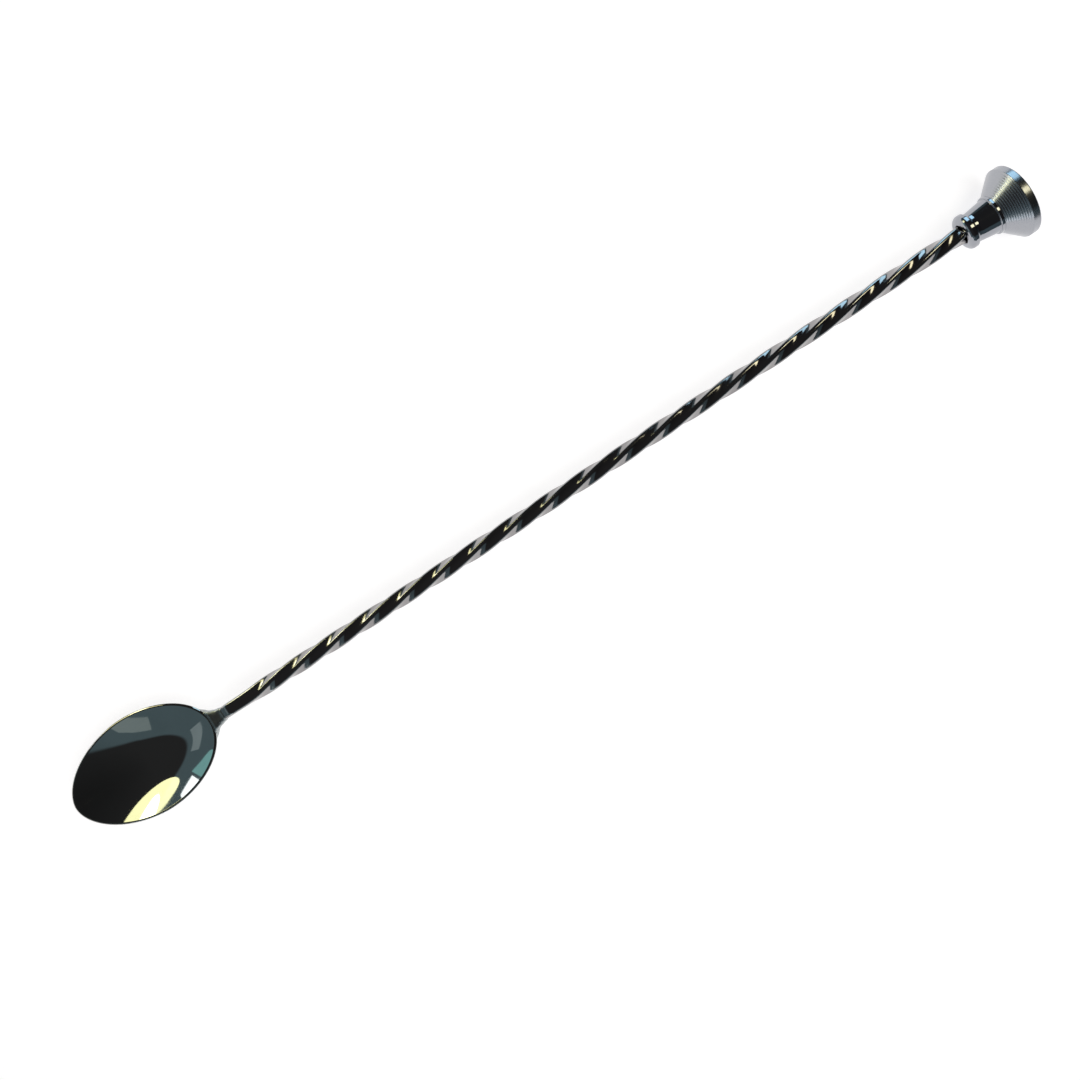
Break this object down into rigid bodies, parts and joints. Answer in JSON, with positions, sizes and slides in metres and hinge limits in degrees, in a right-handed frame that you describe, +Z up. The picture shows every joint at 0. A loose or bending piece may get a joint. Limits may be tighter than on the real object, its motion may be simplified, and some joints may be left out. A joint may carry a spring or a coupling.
{
  "type": "bar spoon",
  "caption": "Long bar spoon with an oval stamped bowl, a left-handed twisted square stem and a turned cone-shaped cap with a flat end, screwed onto the stem.",
  "frame": {"origin": "under the middle of the spoon, on the surface it lies on", "axes": "+X along the stem from the bowl towards the cap, +Z up out of the open bowl, Y across the bowl"},
  "size_m": [0.28, 0.027, 0.018],
  "materials": {
    "bowl": "mirror-polished stainless steel",
    "neck_weld": "dressed weld, satin and slightly darkened",
    "stem": "polished stainless steel",
    "cap_collar": "turned and polished",
    "cap_foot": "fine turned grooves on the cone, polished band"
  },
  "bodies": {
    "spoon": {"bowl": "bowl", "neck_weld": "neck_weld", "stem": "stem"},
    "cap": {"cap_collar": "cap_collar", "cap_foot": "cap_foot"}
  },
  "joints": [
    {"name": "cap_unscrew", "type": "slide", "parent": "spoon", "child": "cap", "axis": [1, 0, 0], "range_m": [0, 0.012]}
  ]
}
